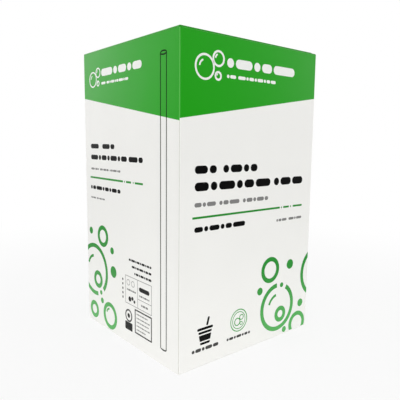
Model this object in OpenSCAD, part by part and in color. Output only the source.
// Closed folding carton for drinking straws, made from one sheet of coated white board.
// The front panel faces -Y, the carton stands on z = 0 and its centre line is the Z axis.
// The four panels run front, right, rear, left. The left panel is glued over a tab of the
// front panel, and the top and the bottom are shut by glued flaps.

/* [Carton] */
// Width of the front and rear panels
carton_w = 145; // [100:1:200]
// Width of the left and right panels
carton_d = 140; // [100:1:200]
// Height over the outer closure flaps
carton_h = 241; // [200:1:320]

/* [Board] */
// Thickness of the board
board_t = 0.5; // [0.3:0.05:0.7]
// Outer radius of a fold
fold_r = 0.7; // [0.5:0.05:1]

/* [Closure flaps] */
// Clearance beside a flap at its fold, past the rounded corner of the carton
flap_relief = 0.1; // [0:0.05:1]
// Width that a closure flap loses on each side towards its free edge
flap_taper = 0.5; // [0:0.1:4]
// Distance from the free edge of the outer flap to the far panel's face
outer_flap_setback = 2; // [1.5:0.1:10]
// Radius at the free corners of the outer flap
outer_flap_r = 4; // [1:0.5:10]

/* [Side seam] */
// Distance from the glued panel's cut edge to the face of the panel beside it
seam_setback = 0.4; // [0.1:0.05:0.5]

/* [Printed header] */
// Height of the header's lower edge at its deep end
header_deep_z = 181.2; // [150:0.2:190]
// Height of the header's lower edge at its shallow end
header_shallow_z = 203; // [192:0.2:230]
// Step in the header's lower edge where the glued panel meets the front panel
seam_step = 1.5; // [0:0.1:3]
// Depth to which a printed field is coloured
print_depth = 0.3; // [0.1:0.05:0.5]

/* [Printed rule] */
// Height of the rule on the front and rear panels
wide_rule_z = 112.5; // [90:0.5:125]
// Height of the rule on the side panels
side_rule_z = 133.6; // [110:0.5:145]
// Distance from a wide panel's edges to the ends of its rule
wide_rule_inset = 11.5; // [5:0.5:20]
// Distance from a side panel's left edge to the start of its rule
side_rule_inset = 8.7; // [5:0.1:15]
// Length of the rule on the side panels
side_rule_l = 86; // [60:1:92]
// Thickness of the rule
rule_t = 1.6; // [0.5:0.1:3]

/* [Printed straw outline] */
// Length of the straw, drawn at its real size
straw_l = 215.9; // [180:0.1:225]
// Diameter of the straw
straw_d = 8; // [5:0.1:12]
// Height of the straw's lower end
straw_z = 11.9; // [8:0.1:14]
// Distance from the straw's centre line to the right edge of the panel
straw_inset = 18.6; // [12:0.1:30]
// Height of the straw's mouth, drawn as a narrow ellipse
straw_mouth = 3.4; // [2.5:0.1:6]
// Thickness of the outline
straw_line = 0.9; // [0.4:0.1:1.1]

/* [Printed bubbles] */
// Size of the group of bubbles at two of the corners
bubble_scale = 1; // [0.6:0.05:1.1]
// Thickness of a bubble's ring
bubble_line = 3.8; // [2:0.1:4.5]

/* [Hidden] */
$fn = 64;
eps = 0.01;
board_white = "#f3f3ef";
header_green = "#37a236";
line_black = "#3a3d3a";
inner_top = carton_h - board_t;
dust_top = carton_h - 2 * board_t;
closure_inset = fold_r + flap_relief;
dust_inset = board_t + fold_r + flap_relief;
seam_cut = min(seam_setback, fold_r);
// Bubbles round the fold between a wide panel and the side panel to its right, each given as
// [distance to the right of the fold, height of the centre, radius of the ring]
bubble_rings = [
    [14, 50, 24],
    [-40, 27, 21],
    [-50, 61, 11],
    [41, 14, 12],
    [30, 83, 9.5],
    [-13, 6, 11],
    [12, 12, 8],
    [20, 42, 8],
    [-36, 20, 7],
];
bubble_dots = [
    [-62, 45, 3.2],
    [-25, 62, 4.2],
    [-9, 24, 3.5],
    [-30, 4.6, 2.6],
    [48, 55, 5],
    [8, 85, 3.2],
    [46, 73, 3],
    [27, 24, 2.6],
];

// A rounded-off corner, as the piece to cut away: the corner is at the origin, the solid
// reaches towards +X and +Y
module fold_cut(r) {
    difference() {
        translate([-eps, -eps]) square(r + eps);
        translate([r, r]) circle(r = r);
    }
}

// A rectangle with the listed corners rounded, each given as [right, top]
module folded_rect(w, h, corners, r) {
    difference() {
        square([w, h]);
        for (c = corners)
            translate([c[0] * w, c[1] * h])
                mirror([c[0], 0])
                    mirror([0, c[1]])
                        fold_cut(r);
    }
}

// Section through the four walls: three rounded folds, and at the front left the glued seam,
// where the cut edge of the left panel stands beside the rounded fold of the front panel
module wall_section() {
    difference() {
        translate([-carton_w / 2, -carton_d / 2])
            folded_rect(carton_w, carton_d, [[1, 0], [1, 1], [0, 1]], fold_r);
        translate([-carton_w / 2, -carton_d / 2])
            difference() {
                translate([-eps, -eps]) square([board_t + fold_r + eps, seam_cut + eps]);
                translate([board_t + fold_r, fold_r]) circle(r = fold_r);
            }
    }
}

// The corner posts of the wall section, which end where the flaps are cut free
module corner_posts() {
    intersection() {
        wall_section();
        for (sx = [-1, 1], sy = [-1, 1])
            translate([sx * (carton_w - dust_inset) / 2, sy * (carton_d - closure_inset) / 2])
                square([dust_inset + eps, closure_inset + eps], center = true);
    }
}

// The walls between the folds at the top and the bottom
module walls() {
    end_z = 2 * board_t + fold_r;
    translate([0, 0, end_z]) linear_extrude(carton_h - 2 * end_z) wall_section();
    translate([0, 0, 2 * board_t]) linear_extrude(dust_top - 2 * board_t) corner_posts();
}

// The front and rear panels with the dust flaps folded in at the top and the bottom
module dust_flap_block() {
    run = carton_w - 2 * dust_inset;
    translate([-run / 2, -carton_d / 2, 2 * board_t])
        rotate([90, 0, 90])
            linear_extrude(run)
                folded_rect(carton_d, dust_top - 2 * board_t, [[0, 0], [1, 0], [0, 1], [1, 1]], fold_r);
}

// Plan of a closure flap, hinged at x = 0 and narrower towards its free edge
module flap_plan(length, r) {
    hinge = carton_d / 2 - closure_inset;
    free = hinge - flap_taper;
    difference() {
        polygon([[0, -hinge], [length, -free], [length, free], [0, hinge]]);
        if (r > 0)
            for (s = [0, 1])
                mirror([0, s])
                    translate([length, -free])
                        mirror([1, 0])
                            fold_cut(r);
    }
}

// The right panel with the inner closure flaps folded over the dust flaps
module inner_flap_block() {
    reach = carton_w - fold_r;
    intersection() {
        translate([carton_w / 2 - reach, carton_d / 2, board_t])
            rotate([90, 0, 0])
                linear_extrude(carton_d)
                    folded_rect(reach, inner_top - board_t, [[1, 0], [1, 1]], fold_r);
        translate([carton_w / 2, 0, 0])
            mirror([1, 0, 0])
                linear_extrude(carton_h) flap_plan(reach, 0);
    }
}

// The left panel with the outer closure flaps folded over the inner ones
module outer_flap_block() {
    reach = carton_w - outer_flap_setback;
    intersection() {
        translate([-carton_w / 2, carton_d / 2, 0])
            rotate([90, 0, 0])
                linear_extrude(carton_d)
                    folded_rect(reach, carton_h, [[0, 0], [0, 1]], fold_r);
        translate([-carton_w / 2, 0, 0])
            linear_extrude(carton_h) flap_plan(reach, outer_flap_r);
    }
}

// The carton's whole form, filled by its contents
module folded_carton() {
    walls();
    dust_flap_block();
    inner_flap_block();
    outer_flap_block();
}

// Puts a flat drawing on a panel: 0 front, 1 right, 2 rear, 3 left. X runs to the right
// and Y upwards as that panel is seen from outside
module on_panel(side) {
    width = side % 2 == 0 ? carton_w : carton_d;
    face = side % 2 == 0 ? carton_d / 2 : carton_w / 2;
    rotate([0, 0, side * 90])
        translate([-width / 2, -face + print_depth, 0])
            rotate([90, 0, 0])
                linear_extrude(print_depth + 1) children();
}

// The header on one panel, whose lower edge rises from one side to the other
module header_field(width, left_z, right_z) {
    polygon([[-1, left_z], [width + 1, right_z], [width + 1, carton_h + 1], [-1, carton_h + 1]]);
}

// The thin rule that divides the print, from its left end
module rule_field(left, length, z) {
    translate([left, z - rule_t / 2]) square([length, rule_t]);
}

// The bubbles that spread over a fold near the base, drawn round the fold's line
module bubble_field() {
    scale(bubble_scale) {
        for (b = bubble_rings)
            translate([b[0], b[1]])
                difference() {
                    circle(r = b[2]);
                    circle(r = b[2] - bubble_line);
                }
        for (b = bubble_dots)
            translate([b[0], b[1]])
                circle(r = b[2]);
    }
}

// All that is printed in green
module green_print() {
    for (side = [0, 2])
        on_panel(side) {
            header_field(carton_w, header_deep_z, header_shallow_z);
            rule_field(wide_rule_inset, carton_w - 2 * wide_rule_inset, wide_rule_z);
            translate([carton_w, 0]) bubble_field();
        }
    for (side = [1, 3])
        on_panel(side) {
            header_field(carton_d, header_shallow_z, header_deep_z - (side == 3 ? seam_step : 0));
            rule_field(side_rule_inset, side_rule_l, side_rule_z);
            bubble_field();
        }
    translate([-carton_w, -carton_d, dust_top - print_depth])
        cube([2 * carton_w, 2 * carton_d, carton_h]);
}

// One end of the drawn straw, a narrow ellipse that lies the given distance inside its edge
module straw_end(inset) {
    radius = straw_d / 2 - inset;
    scale([1, (straw_mouth / 2 - inset) / radius]) circle(r = radius);
}

// The drawn straw's whole shape, from the middle of its lower end
module straw_shape(inset) {
    run = straw_l - straw_mouth;
    translate([inset - straw_d / 2, 0]) square([straw_d - 2 * inset, run]);
    straw_end(inset);
    translate([0, run]) straw_end(inset);
}

// One straw, drawn as an outline on the side panels, with its mouth as a full ellipse
module straw_print() {
    for (side = [1, 3])
        on_panel(side)
            translate([carton_d - straw_inset, straw_z + straw_mouth / 2]) {
                difference() {
                    straw_shape(0);
                    straw_shape(straw_line);
                }
                translate([0, straw_l - straw_mouth])
                    difference() {
                        straw_end(0);
                        straw_end(straw_line);
                    }
            }
}

module carton() {
    color(board_white)
        difference() {
            folded_carton();
            green_print();
            straw_print();
        }
    color(header_green)
        intersection() {
            folded_carton();
            difference() {
                green_print();
                straw_print();
            }
        }
    color(line_black)
        intersection() {
            folded_carton();
            straw_print();
        }
}

carton();
